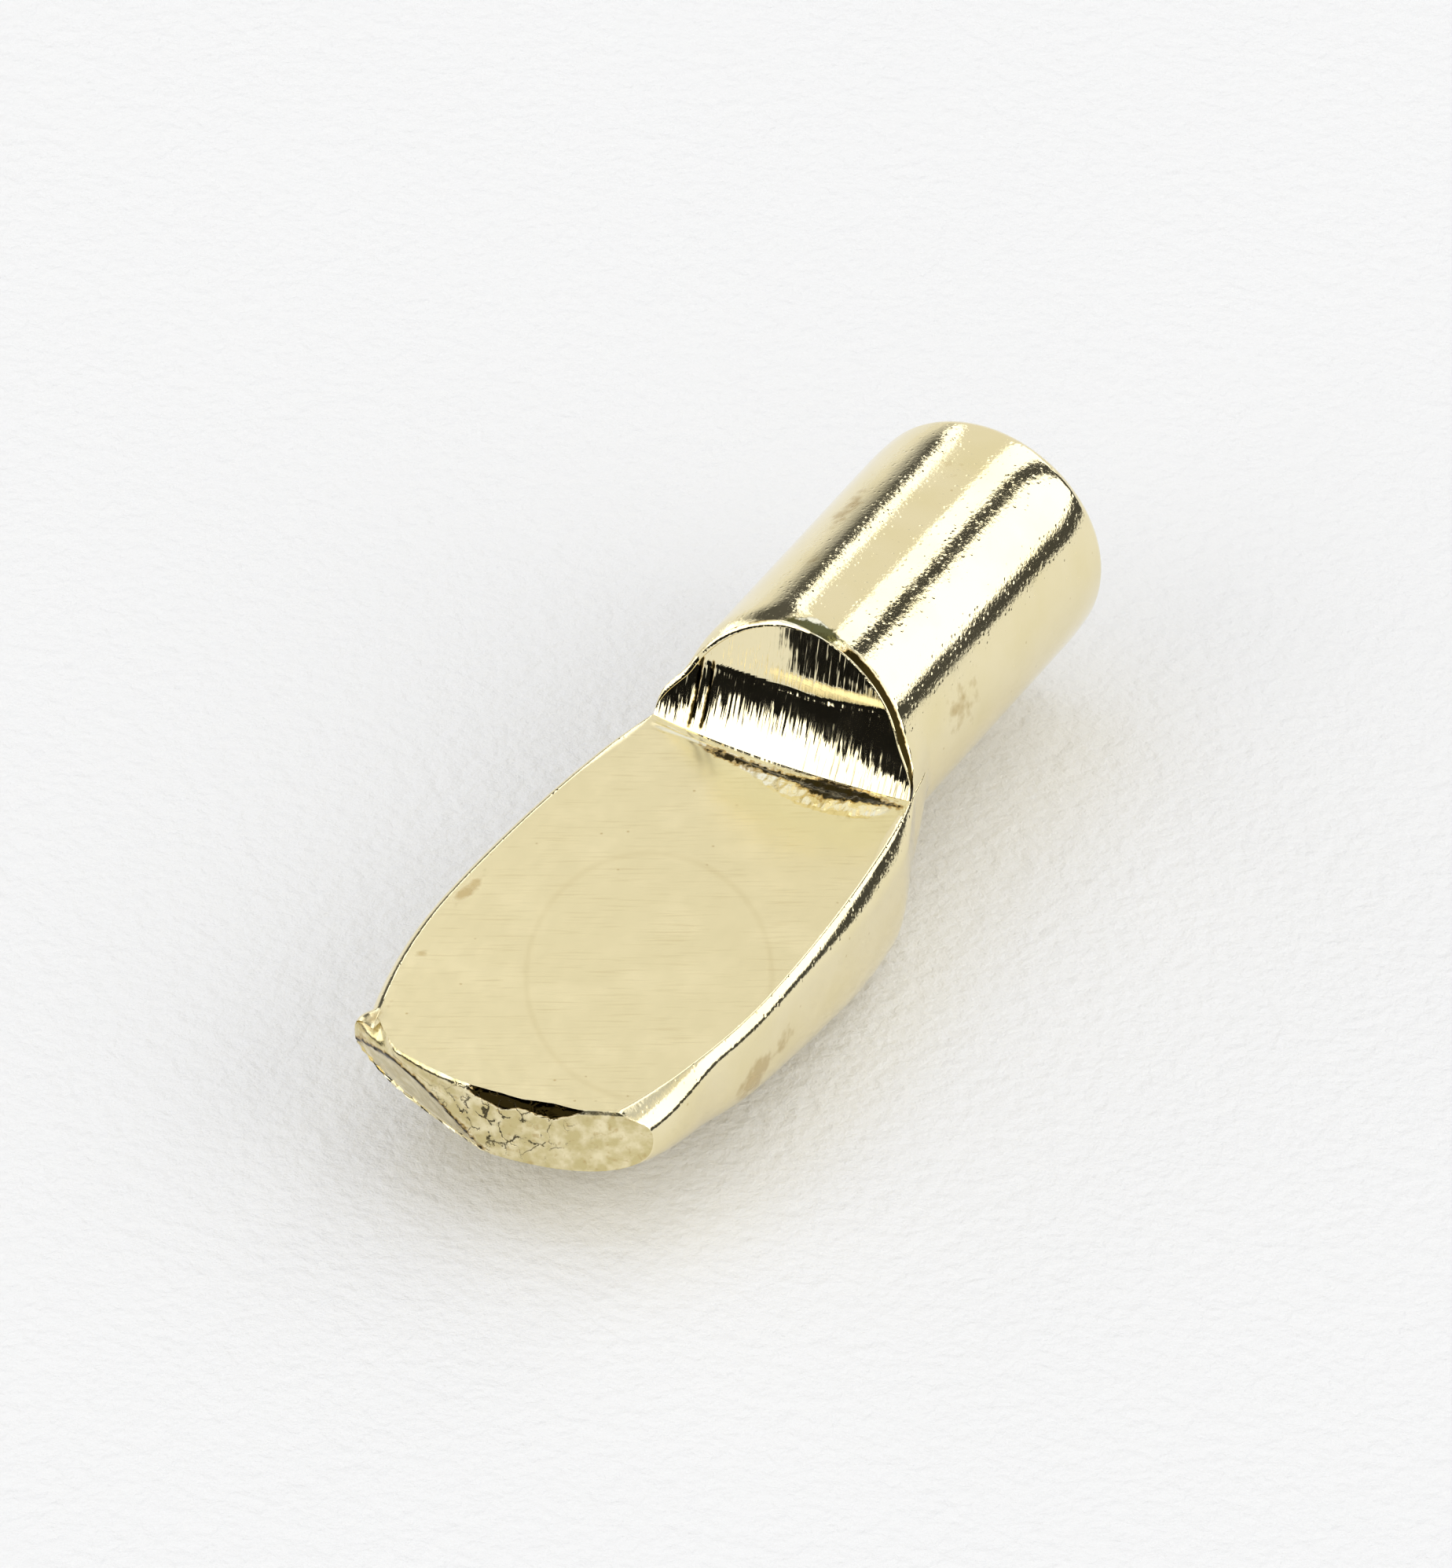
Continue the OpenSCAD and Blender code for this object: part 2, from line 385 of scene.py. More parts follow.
def under_rows(y_of_x, rows):
    """Underside rings, where y_of_x gives each ring's y across the pin as an array of rows by points."""
    share = np.broadcast_to(np.linspace(0, 1, DENSE_POINTS), (rows, DENSE_POINTS))
    x = np.cos(share * np.pi) * SEAT_HALF_W
    for _ in range(SETTLING_ROUNDS):
        s = -y_of_x(x)
        x, z = under_section(share, s)
    return evenly_along(np.stack([x, y_of_x(x), z], axis=-1))


print("columns underneath:", under_share.size, "picked from", DENSE_POINTS)

# %% [markdown]
# ## The foot of the step and the tip
# The punch ends the seat in a slightly bowed line at the foot of the step. At the other end a shear cut
# the wire off on an arc, and the tear left that edge a little wavy.

# %% Ends of the seat
# The foot's line: where it is, how much it bows, and about which x
FOOT_Y, FOOT_BOW, FOOT_MIDDLE_X = -1.84, 0.027, 0.4
RIM_TOP = 3.07
# The torn edge strays from the arc by this much, in mm, at these places across the tip
TEAR_X = [-3.6, -3.2, -2.8, -2.4, -1.2, 0.0, 0.7, 1.4, 1.8, 2.3, 3.2, 4.1]
TEAR_Y = [0.50, 0.45, 0.20, -0.06, -0.05, -0.05, -0.08, -0.03, -0.05, -0.06, -0.03, -0.28]
TEAR_FADE, TEAR_LEFT = 0.35, 0.2
# The rounding where the shear bit: how high it is, how far it leans back, and how fast it bends
BITE_X = [-3.0, -2.4, -0.5, -0.1, 0.6, 1.1, 1.8, 2.4, 3.3, 3.9]
BITE_HEIGHT = [0.05, 0.20, 0.20, 0.25, 0.42, 0.26, 0.42, 0.13, 0.13, 0.05]
BITE_BACK = [0.0, 0.10, 0.10, 0.10, 0.16, 0.10, 0.16, 0.055, 0.055, 0.0]
BITE_POWER = [2.0, 2.0, 2.0, 1.2, 1.1, 1.1, 1.1, 1.1, 1.1, 1.1]
BELOW_BITE = -1.0


def tip_y(x, z):
    """The sheared tip: an arc with a torn edge, its top dragged back where the shear first bit."""
    arc = TIP_R - TIP_S - np.sqrt(TIP_R**2 - np.clip(x, -TIP_R, TIP_R) ** 2)
    tear = np.interp(x, TEAR_X, TEAR_Y) * (1 - (1 - TEAR_LEFT) * ease(-z / TEAR_FADE))
    up_the_bite = np.clip(1 + z / np.interp(x, BITE_X, BITE_HEIGHT), 0, 1)
    return arc + tear + np.interp(x, BITE_X, BITE_BACK) * up_the_bite ** np.interp(x, BITE_X, BITE_POWER)


print("middle of the tip's top edge, y in mm:", round(float(tip_y(0.0, 0.0)), 2))

# %% [markdown]
# The step face leans back most at its foot and is nearly straight above. Its lean is given at a few heights,
# and the run of the face behind its foot is the area under that lean, so the curve has no corners. The
# curved foot is taller on the left than on the right, because the punch came in a little askew, and metal
# that stuck to the punch left two folds and a patch that leans back more.

# %% Step face
LEAN_DEG = (34, 25, 19.5, 15, 13.3, 13.3)
LEAN = [math.tan(math.radians(a)) for a in LEAN_DEG]
ROUND_X, ROUND_Z = [-3.0, -1.5, 0.0, 1.2, 2.4, 3.3], [1.2, 1.1, 0.92, 0.74, 0.60, 0.42]
# Height of the bend at the top of the scraped round, across the step, and the bends just below and above it
BEND_X, BEND_Z = [-1.8, 0.8, 2.4], [1.61, 1.64, 1.84]
BELOW_BEND, ABOVE_BEND, STRAIGHT_ABOVE, ABOVE_ALL = 0.12, 0.06, 0.2, 4.0
# The patch that leans back more: x from and to and its fade at each side, then z from, its lean and how it starts
PATCH_SPAN = (-1.3, 2.6, 2.2, 0.4)
PATCH_Z, PATCH_LEAN, PATCH_START = 1.86, 0.072, 0.2
# Folds down the left of the face: x, half-width and depth, then their top and fade, in mm
FOLDS = [(-2.40, 0.07, 0.035), (-2.08, 0.06, 0.025)]
FOLD_TOP, FOLD_FADE = 1.7, 0.3


def between(x, start, end, fade_in, fade_out):
    """1 well inside a span, and 0 outside it, with soft ends."""
    return ease((x - start) / fade_in) * ease((end - x) / fade_out)


def soft_spot(*offsets):
    """1 in the middle of a mark, fading out where the offsets, in shares of its spread, grow."""
    return np.exp(-sum(offset**2 for offset in offsets))


def in_fold(x, z, fold_x, fold_half_w, top, fade):
    """How deep in a fold a point is, from 0 outside it to 1 on its line."""
    return soft_spot((x - fold_x) / fold_half_w) * between(z, 0, top, fade, fade)


def step_y(x, z):
    """The step face: the foot's bowed line, and the run of the face behind it at height z."""
    bend_z = np.interp(x, BEND_X, BEND_Z)
    heights = [0 * x, np.interp(x, ROUND_X, ROUND_Z), bend_z - BELOW_BEND, bend_z + ABOVE_BEND]
    heights += [bend_z + STRAIGHT_ABOVE, ABOVE_ALL]
    run = 0.0
    for low, high, lean, next_lean in zip(heights, heights[1:], LEAN, LEAN[1:]):
        climbed = np.clip(z, low, high) - low
        run = run + lean * climbed + (next_lean - lean) * climbed**2 / (2 * (high - low))
    up_the_patch = np.clip(z - PATCH_Z, 0, None)
    run = run + PATCH_LEAN * between(x, *PATCH_SPAN) * up_the_patch**2 / (up_the_patch + PATCH_START)
    for fold_x, fold_half_w, fold_depth in FOLDS:
        run = run + fold_depth * in_fold(x, z, fold_x, fold_half_w, FOLD_TOP, FOLD_FADE)
    bow = FOOT_BOW * (x - FOOT_MIDDLE_X) ** 2 * (1 - z / RIM_TOP)
    return FOOT_Y + bow + run


print("step face's lean, degrees:", LEAN_DEG)

# %% [markdown]
# The rim is given by its radius at each angle from the top. The left side was squeezed in, and both sides
# flare at the base.

# %% Rim of the step
# Each side's flare in mm, its first degree and the degrees it grows over, and how far the left is squeezed in
RIGHT_FLARE, LEFT_FLARE = (0.35, 66, 26), (0.515, 63, 29)
SQUEEZE, SQUEEZE_OVER = 0.18, 55

away = np.abs(turn_deg)
right_flare, left_flare = (most * ease((away - first) / over) for most, first, over in (RIGHT_FLARE, LEFT_FLARE))
rim = np.where(turn_deg < 0, RIM_TOP - SQUEEZE * ease(away / SQUEEZE_OVER) + left_flare, RIM_TOP + right_flare)
corner_x = rim[[0, -1]] * [-1, 1]
corner_y = step_y(corner_x, 0.0)


def corner_line_y(x):
    """Straight line between the two corners of the foot, which the underside's rings follow."""
    return corner_y[0] + (corner_y[1] - corner_y[0]) * (x - corner_x[0]) / (corner_x[1] - corner_x[0])


print("corners of the step's foot, mm:", np.round(corner_x, 2), np.round(corner_y, 2))

# %% [markdown]
# ## The dent below the step
# Where the punch stopped it dented the seat and dragged metal up towards the step. Going in from its outer
# edge, the dent sinks a little, climbs to a low burr, and falls again to a narrow ledge at the step's foot. It
# is crumpled, most of all on the right.

# %% Dent
# Outer edge of the dent, in mm: how far out it reaches at these places across the seat
DENT_X = [-2.3, -1.4, -0.8, -0.1, 0.7, 1.4, 2.2, 2.7, 3.3]
DENT_Y = [-1.95, -2.05, -2.34, -2.64, -2.92, -3.06, -2.98, -2.80, -2.37]
# Its height, in mm, at these shares of the way from the outer edge to the ledge
DENT_WAY, DENT_Z = [0, 0.2, 0.60, 0.68, 0.90, 1], [0, -0.03, 0.06, 0.06, -0.03, 0]
LEDGE_WIDTH, LEAST_DENT = 0.12, 0.05
# The length that gives it its whole height, its half-width, and its fade at the sides and outer edge
WHOLE_LEN, DENT_HALF_W, DENT_SIDE_FADE, OUTER_FADE = 0.8, 3.35, 0.5, 0.15


def dent(x, y):
    """Height of the dented seat at a point, and how dented it is there, from 0 to 1."""
    ledge = step_y(x, 0.0) - LEDGE_WIDTH
    outer = np.minimum(np.interp(x, DENT_X, DENT_Y), ledge - LEAST_DENT)
    way = (y - outer) / (ledge - outer)
    size = np.clip((ledge - outer) / WHOLE_LEN, 0, 1) * ease((DENT_HALF_W - np.abs(x)) / DENT_SIDE_FADE)
    dented = size * ease(way / OUTER_FADE) * ease(1 - (y - ledge) / LEDGE_WIDTH)
    return size * np.interp(way, DENT_WAY, DENT_Z), dented


print("dent reaches out to y, mm:", min(DENT_Y))

# %% [markdown]
# ## Rows of the grid
# Each stretch of the pin now gives its rings: the torn tip, the seat, the step face, the thin lip above
# it, the shoulder, the shank, and the shank's rounded end.

# %% Seat rings
SEAT_ROWS, END_CROWDING = 136, 0.72
# Over this last stretch, in mm, the seat's edge goes over into the step's corners
NEAR_FOOT = 3.0


def seat_rings():
    """Rings from the tip (0) to the step's foot (1), closer together at both ends."""
    share = crowded(np.linspace(0, 1, SEAT_ROWS)[:, None], END_CROWDING)
    x = np.broadcast_to(np.sin(turn) * SEAT_HALF_W, (SEAT_ROWS, turn.size))
    for _ in range(SETTLING_ROUNDS):
        foot = step_y(x, 0.0)
        y = tip_y(x, 0.0) * (1 - share) + foot * share
        at_foot = ease(1 - (foot - y) / NEAR_FOOT)
        x = np.sin(turn) * (half_width(-y) * (1 - at_foot) + rim * at_foot)
    top = np.stack([x, y, dent(x, y)[0]], axis=-1)
    under = under_rows(lambda x: tip_y(x, BELOW_BITE) * (1 - share) + corner_line_y(x) * share, SEAT_ROWS)
    return np.concatenate([top, under], axis=1)


seat = seat_rings()
print("seat rings:", seat.shape[0], "widest point, mm:", round(float(seat[..., 0].max()), 2))

# %% [markdown]
# The step's rings rise from the foot to the rim. Beyond the rim the punch pushed out a thin lip. On the
# right a sharp groove lies behind the lip, on the left it just dies away. On the underside nothing happens
# here, so these rings share one line that is merged later.

# %% Step and lip rings
STEP_ROWS = 60
# The lip's profile on each side, in mm: how far out from the rim, and how far back from the step face
RIGHT_LIP = [(0.015, -0.02), (0.04, -0.01), (0.045, 0.015), (0.0, 0.035), (-0.08, 0.055), (-0.16, 0.07)]
LEFT_LIP = [(0.015, -0.02), (0.06, -0.01), (0.11, 0.02), (0.145, 0.07), (0.12, 0.13), (0.04, 0.16)]
# The degrees that the lip grows over from the foot, and those over which it turns into the right one
LIP_OVER, RIGHT_FROM, RIGHT_OVER = 12, -12, 30

rim_x, rim_z = rim * np.sin(turn), rim * np.cos(turn)
rim_y = step_y(rim_x, rim_z)
lip_grown = ease((90 - away) / LIP_OVER)
rightness = ease((turn_deg - RIGHT_FROM) / RIGHT_OVER)

rise = np.linspace(0, 1, STEP_ROWS + 1)[1:, None]
step_top = np.stack([rim_x + 0 * rise, step_y(rim_x, rise * rim_z), rise * rim_z], axis=-1)
lip_rings = []
for on_right, on_left in zip(np.array(RIGHT_LIP), np.array(LEFT_LIP)):
    out, set_back = on_left[:, None] + (on_right - on_left)[:, None] * rightness
    lip_r = rim + out * lip_grown
    lip_rings.append(around(lip_r, turn, rim_y + set_back * lip_grown))
step_and_lip = np.concatenate([step_top, np.stack(lip_rings)])
under_line = np.broadcast_to(seat[-1, turn.size :], (len(step_and_lip), under_share.size, 3))
step_and_lip = np.concatenate([step_and_lip, under_line], axis=1)
print("lip's highest point, mm:", round(float(step_and_lip[..., 2].max()), 2))

# %% [markdown]
# Behind the lip the surface rises to the round shoulder: steeply on the right, and in a long slope on the
# left, where the rim was squeezed in. A small scuffed hollow lies just right of the top.

# %% Shoulder rings
SHOULDER_ROWS, SHOULDER_CROWDING = 26, 1.5
# Length of the slope behind the lip in mm, and how it eases out
LEFT_SLOPE, RIGHT_SLOPE = 0.7, 0.22
LEFT_POWER, RIGHT_POWER = 2.0, 1.0
# The shoulder flares to the blank's width from this angle, over these degrees
BASE_FROM, BASE_OVER = 62, 28
SCUFF_DEPTH, SCUFF_TURN, SCUFF_Y = 0.015, 4, -0.42
SCUFF_SPREAD_DEG, SCUFF_SPREAD_Y = 14, 0.18

back_share = np.linspace(0, 1, SHOULDER_ROWS + 1)[1:, None] ** SHOULDER_CROWDING
lip_y = lip_rings[-1][:, 1]
shoulder_y = lip_y * (1 - back_share)
round_r = SHANK_R + (half_width(-shoulder_y) - SHANK_R) * ease((away - BASE_FROM) / BASE_OVER)
slope_len = LEFT_SLOPE + (RIGHT_SLOPE - LEFT_SLOPE) * rightness
up_the_slope = np.clip((shoulder_y - lip_y) / slope_len, 0, 1)
falling = (1 - up_the_slope) ** (LEFT_POWER + (RIGHT_POWER - LEFT_POWER) * rightness)
scuff = soft_spot((turn_deg - SCUFF_TURN) / SCUFF_SPREAD_DEG, (shoulder_y - SCUFF_Y) / SCUFF_SPREAD_Y)
shoulder_r = round_r + (lip_r - round_r) * falling - SCUFF_DEPTH * scuff
shoulder_under = under_rows(lambda x: corner_line_y(x) * (1 - back_share), SHOULDER_ROWS)
shoulder = np.concatenate([around(shoulder_r, turn, shoulder_y), shoulder_under], axis=1)
print("shoulder rings:", len(shoulder))

# %% [markdown]
# The shank is plain round wire. Tumbling wore its free end to a slight taper and a rounded edge, and the
# sheared end face is closed with rings that shrink to a point.

# %% Shank rings
SHANK_ROWS, ROUNDING_ROWS, CAP_ROWS = 60, 16, 12
ROUNDING_LEN, ROUNDING_IN, ROUNDING_POWER = 0.45, 0.52, 2.2
TAPER_LEN, TAPER_IN = 1.3, 0.09
ring_turn = np.concatenate([turn, np.pi / 2 + under_share * np.pi])


def round_ring(y, radius):
    """One ring of the shank."""
    return around(radius, ring_turn, np.full_like(ring_turn, y))


straight_end = SHANK_LEN - ROUNDING_LEN
corner_turn = np.linspace(0, np.pi / 2, ROUNDING_ROWS + 1)[1:]
rounding_y = straight_end + ROUNDING_LEN * np.sin(corner_turn) ** (2 / ROUNDING_POWER)
shank_y = np.concatenate([np.linspace(0, straight_end, SHANK_ROWS + 1)[1:], rounding_y])
shank_radius = SHANK_R - TAPER_IN * np.clip(1 - (SHANK_LEN - shank_y) / TAPER_LEN, 0, 1) ** 2
shank_radius[SHANK_ROWS:] -= ROUNDING_IN * (1 - np.cos(corner_turn).clip(0) ** (2 / ROUNDING_POWER))
shank_rings = [round_ring(y, radius) for y, radius in zip(shank_y, shank_radius)]
end_face = [round_ring(SHANK_LEN, shank_radius[-1] * share) for share in np.linspace(1, 0, CAP_ROWS + 1)[1:]]
print("shank rings:", len(shank_rings) + len(end_face))

# %% [markdown]
# The tip's face is closed the same way, on the arc that the shear left. Then two marks are pressed into the
# finished grid: a flat the shear tore off the lower left of the tip, and a small burr it pushed out at the
# left corner.

# %% Tip face, torn flat and burr
TIP_ROWS, TIP_CROWDING, TIP_MIDDLE_Z = 24, 1.7, -0.75
tip_ring = seat[0]
middle = np.array([0.0, 0.0, TIP_MIDDLE_Z])

tip_face = []
for share in 1 - np.linspace(1, 0, TIP_ROWS + 1)[:-1] ** TIP_CROWDING:
    ring = middle + (tip_ring - middle) * share
    ring[:, 1] = tip_y(ring[:, 0], ring[:, 2])
    tip_face.append(ring)

grid = np.concatenate([np.stack(tip_face), seat, step_and_lip, shoulder, np.stack(shank_rings + end_face)])
row_counts = [TIP_ROWS, SEAT_ROWS, STEP_ROWS, len(lip_rings), SHOULDER_ROWS, len(shank_rings)]
seat_row, step_row, lip_row, shoulder_row, shank_row, end_row = np.cumsum(row_counts)

# The torn flat: a plane by its outward direction and its distance from the origin, in front of this y only
TORN_OUT, TORN_DISTANCE, TORN_FRONT_Y = np.array([-0.35, -0.85, -0.39]), 14.13, -13
# The tear went a little deeper than the plane: how much, and over what width its edge drops to it
TORN_DEEPER, TORN_EDGE = 0.05, 0.04
torn_y = (TORN_DISTANCE - TORN_OUT[0] * grid[..., 0] - TORN_OUT[2] * grid[..., 2]) / TORN_OUT[1]
cut_off = np.where(grid[..., 1] < TORN_FRONT_Y, torn_y - grid[..., 1], 0)
grid[..., 1] += np.maximum(cut_off, 0) + TORN_DEEPER * ease(cut_off / TORN_EDGE)

# The burr: where it is, how far it was pushed, and how wide it is
BURR_AT, BURR_PUSH, BURR_SPREAD = np.array([-3.5, -14.65, -0.2]), np.array([-0.05, 0.0, 0.07]), 0.22
burr = np.exp(-(np.sum((grid - BURR_AT) ** 2, axis=-1) / BURR_SPREAD**2))
grid += burr[..., None] * BURR_PUSH
print("grid, rings by points:", grid.shape[:2])

# %% [markdown]
# ## Marks that the finish will need
# The finish differs from face to face, so each point remembers how its face was made: pressed by the punch,
# scraped by it, torn by the shear, or only tumbled.

# %% Zones
MARKS = ("pressed", "scraped", "torn", "tumbled", "combed", "dented", "scuffed", "cracked", "stained", "creased")
# The shank's sheared end was tumbled smoother than the tip
END_TORN = 0.8

rings, points = grid.shape[:2]
on_top = np.arange(points) < turn.size
on_seat, on_step = (slice(seat_row, step_row), on_top), (slice(step_row, lip_row), on_top)
on_shoulder = (slice(shoulder_row, shank_row), on_top)
zones = {name: np.zeros((rings, points)) for name in MARKS}
zones["pressed"][on_seat] = 1
zones["scraped"][on_step] = 1
zones["torn"][:seat_row] = 1
zones["torn"][end_row:] = END_TORN
zones["tumbled"] = 1 - zones["pressed"] - zones["scraped"] - zones["torn"]
print("points with each mark:", {name: int(np.count_nonzero(zones[name])) for name in MARKS[:4]})

# %% [markdown]
# Where metal stuck to the punch the scrape is combed. The comb marks fade out above the bend, come back faintly
# on the patch, and are weaker at the foot on the left.

# %% Comb marks, dent and scuff
# How strong the comb marks are above the bend, on the patch and at the foot
COMB_ABOVE, COMB_PATCH, COMB_FOOT = 0.12, 0.55, 0.45
COMB_FADE_BELOW, COMB_FADE, COMB_LEFT_OF = 0.15, 0.2, 1.5
# How crumpled the dent is, at these places across the seat
CRUMPLE_X, CRUMPLE = [-2.0, -1.4, 0.0, 1.0, 2.6, 3.2], [0.0, 0.45, 0.6, 0.9, 1.0, 0.2]

face_x, face_z = grid[on_step][..., 0], grid[on_step][..., 2]
above_bend = ease((face_z - np.interp(face_x, BEND_X, BEND_Z) + COMB_FADE_BELOW) / COMB_FADE)
on_patch = between(face_x, *PATCH_SPAN) * ease((face_z - PATCH_Z) / COMB_FADE)
at_foot = ease((1 - face_z / np.interp(face_x, ROUND_X, ROUND_Z)) * ease((COMB_LEFT_OF - face_x) / COMB_LEFT_OF))
near_foot = 1 - (1 - COMB_FOOT) * at_foot
zones["combed"][on_step] = near_foot * (1 - above_bend * (1 - COMB_ABOVE - COMB_PATCH * on_patch))

seat_x, seat_y = grid[on_seat][..., 0], grid[on_seat][..., 1]
crumpled = np.interp(seat_x, CRUMPLE_X, CRUMPLE)
zones["dented"][on_seat] = dent(seat_x, seat_y)[1] * crumpled
zones["scuffed"][on_shoulder] = scuff
print("mean comb mark:", round(float(zones["combed"][on_step].mean()), 2))

# %% [markdown]
# Every crease gets painted shade, dark brown with a deeper gold at its edges: in the groove behind the
# lip, down the folds, along the dent, below the shear's bite and round the torn flat.

# %% Painted shade in the creases
# Painted shade in the groove behind the lip: side, strength and first degree, then the degrees it grows over and its
# fade
GROOVES, GROOVE_OVER, GROOVE_FADE = [(1, 0.95, 16), (-1, 0.5, 5)], 12, 0.3
LIP_FRONT_ROWS = 3
# Painted shade along the dent's crease: strength, how far out from the foot it runs, and how wide it spreads at
# these places
DENT_CREASE, CREASE_OUT = 0.95, 0.29
CREASE_SPREAD_X, CREASE_SPREAD = [-2.0, 0.8, 1.6, 2.6], [0.18, 0.20, 0.50, 0.22]
FOLD_CREASE, FOLD_CREASE_TOP, FOLD_CREASE_FADE = 0.8, 1.8, 0.2
# The bite's face in painted shade: how far below its edge it starts, over what height, and x from and to with its
# fades
BITE_BELOW, BITE_EDGE, BITE_SPAN = 0.02, 0.12, (-0.4, 2.6, 0.4, 0.3)
TORN_CREASE, TORN_CREASE_W = 0.75, 0.06

# This mask is painted shade: it darkens the colour in every crease
creased = zones["creased"]
behind_lip = sum(strength * ease((side * turn_deg - first) / GROOVE_OVER) for side, strength, first in GROOVES)
creased[lip_row + LIP_FRONT_ROWS : shoulder_row, on_top] = behind_lip
creased[on_shoulder] = behind_lip * rightness * ease((1 - up_the_slope) / GROOVE_FADE)
from_crease = (seat_y - step_y(seat_x, 0.0) + CREASE_OUT) / np.interp(seat_x, CREASE_SPREAD_X, CREASE_SPREAD)
creased[on_seat] = DENT_CREASE * np.sqrt(crumpled) * soft_spot(from_crease)
for fold_x, fold_half_w, _ in FOLDS:
    folded = in_fold(face_x, face_z, fold_x, fold_half_w, FOLD_CREASE_TOP, FOLD_CREASE_FADE)
    creased[on_step] += FOLD_CREASE * folded

tip_x, tip_z = grid[:seat_row, :, 0], grid[:seat_row, :, 2]
in_bite = ease((tip_z + np.interp(tip_x, BITE_X, BITE_HEIGHT) + BITE_BELOW) / BITE_EDGE) * between(tip_x, *BITE_SPAN)
zones["torn"][:seat_row] = 1 - in_bite
creased[:seat_row] = np.maximum(in_bite, TORN_CREASE * soft_spot(cut_off[:seat_row] / TORN_CREASE_W))
print("points in a crease:", int((creased > 0.5).sum()))

# %% [markdown]
# Cracks opened below the bite, and brown stains show where the plate is thin. Both are marked as soft spots.

# %% Cracks and stains
# Middle of the cracks and their spread, across and up the tip's face, in mm
CRACKS_X, CRACKS_Z, CRACKS_WIDE, CRACKS_HIGH = 0.5, -0.8, 1.5, 0.7
# This mark carries real cracks in the bump, and painted shade in the colour that darkens the lower tip face
zones["cracked"][:seat_row] = soft_spot((tip_x - CRACKS_X) / CRACKS_WIDE, (tip_z - CRACKS_Z) / CRACKS_HIGH)

# Stains: middle x, y, z and spread x, y, z in mm, and strength
STAINS = [
    (-3.85, -9.4, 0, 0.25, 1.0, 0.3, 0.8),
    (-3.6, -12.0, 0, 0.25, 0.5, 0.3, 0.6),
    (-3.3, -14.2, 0, 0.12, 0.6, 0.3, 0.5),
    (-1.5, 4.5, 2.8, 0.5, 1.6, 0.5, 0.75),
    (-1.1, 2.0, 2.95, 0.25, 0.4, 0.3, 0.7),
    (0.1, 6.7, 3.15, 0.5, 0.9, 0.4, 0.55),
    (3.05, 1.6, 0.6, 0.5, 1.2, 1.0, 0.7),
    (-3.5, -14.7, -0.3, 0.3, 0.4, 0.5, 0.8),
    (2.9, -14.9, -0.9, 0.5, 0.4, 0.6, 0.5),
    (4.1, -10.7, -1.6, 0.8, 0.8, 0.8, 1.0),
    (4.1, -9.3, -1.3, 0.5, 0.6, 0.6, 0.85),
    (-2.4, -14.9, -1.0, 0.8, 0.5, 0.4, 0.6),
]
for *spot, strength in STAINS:
    offset = (grid - np.array(spot[:3])) / np.array(spot[3:])
    zones["stained"] += strength * np.exp(-np.sum(offset**2, axis=-1))
print("stains:", len(STAINS))

# %% [markdown]
# ## From grid to mesh
# Neighbouring rings are joined by four-sided faces. Points that fell on each other are merged, which closes
# the two ends and the shared line under the step, and the normals are then turned outwards.

# %% Mesh of the pin
# Points closer than this fell on each other, and edges sharper than this many degrees stay crisp
SAME_POINT, SHARP_DEG = 0.0002 * MM, 32

index = np.arange(rings * points).reshape(rings, points)
next_point = np.roll(index, -1, axis=1)
quads = np.stack([index[:-1], next_point[:-1], next_point[1:], index[1:]], axis=-1).reshape(-1, 4)

pin_mesh = bpy.data.meshes.new("brass_pin")
pin_mesh.from_pydata((grid * MM).reshape(-1, 3).tolist(), [], quads.tolist())
for name, values in zones.items():
    pin_mesh.attributes.new(name, "FLOAT", "POINT").data.foreach_set("value", np.clip(values, 0, 1).ravel())

shell = bmesh.new()
shell.from_mesh(pin_mesh)
bmesh.ops.remove_doubles(shell, verts=shell.verts, dist=SAME_POINT)
bmesh.ops.dissolve_degenerate(shell, edges=shell.edges, dist=SAME_POINT)
bmesh.ops.recalc_face_normals(shell, faces=shell.faces)
odd_edges = sum(not edge.is_manifold for edge in shell.edges)
shell.to_mesh(pin_mesh)
volume = shell.calc_volume() / MM**3
print("faces:", len(pin_mesh.polygons), "edges not shared by two:", odd_edges, "volume, mm3:", round(volume, 1))
shell.free()
pin_mesh.shade_smooth()
pin_mesh.set_sharp_from_angle(angle=math.radians(SHARP_DEG))
pin = bpy.data.objects.new("brass_pin", pin_mesh)
bpy.context.collection.objects.link(pin)

# %% [markdown]
# ## Surface relief
# Tumbling and plating leave a soft orange peel all over, the punch leaves drag lines down the step and crumples
# the dent, and the shear leaves a torn grain. Each is a noise that follows the surface, so a Geometry Nodes
# tree pushes every point a little way along its normal, by the marks that the grid remembered.

# %% Geometry Nodes tree of the relief
RELIEF = {
    # name: (width of the pattern and height of the noise in mm, mark that carries it, factor on X, Y and Z)
    "Orange peel": (0.45, 0.006, None, (1, 1, 1)),
    "Drag lines": (0.2, 0.014, "scraped", (1, 0.05, 0.05)),
    "Torn grain": (0.45, 0.03, "torn", (1, 1, 1)),
    "Crumple": (0.20, 0.17, "dented", (1, 0.5, 1)),
}
relief = bpy.data.node_groups.new("worked_surface", "GeometryNodeTree")
relief.interface.new_socket("Geometry", in_out="OUTPUT", socket_type="NodeSocketGeometry")
sizes = {f"{name} {size}": "Float" for name in RELIEF for size in ("width", "height")}
for name, kind in {"Geometry": "Geometry", **sizes, "Finish": "Material"}.items():
    relief.interface.new_socket(name, in_out="INPUT", socket_type=f"NodeSocket{kind}")
entry = add_node(relief, "NodeGroupInput").outputs
spot = add_node(relief, "GeometryNodeInputPosition")

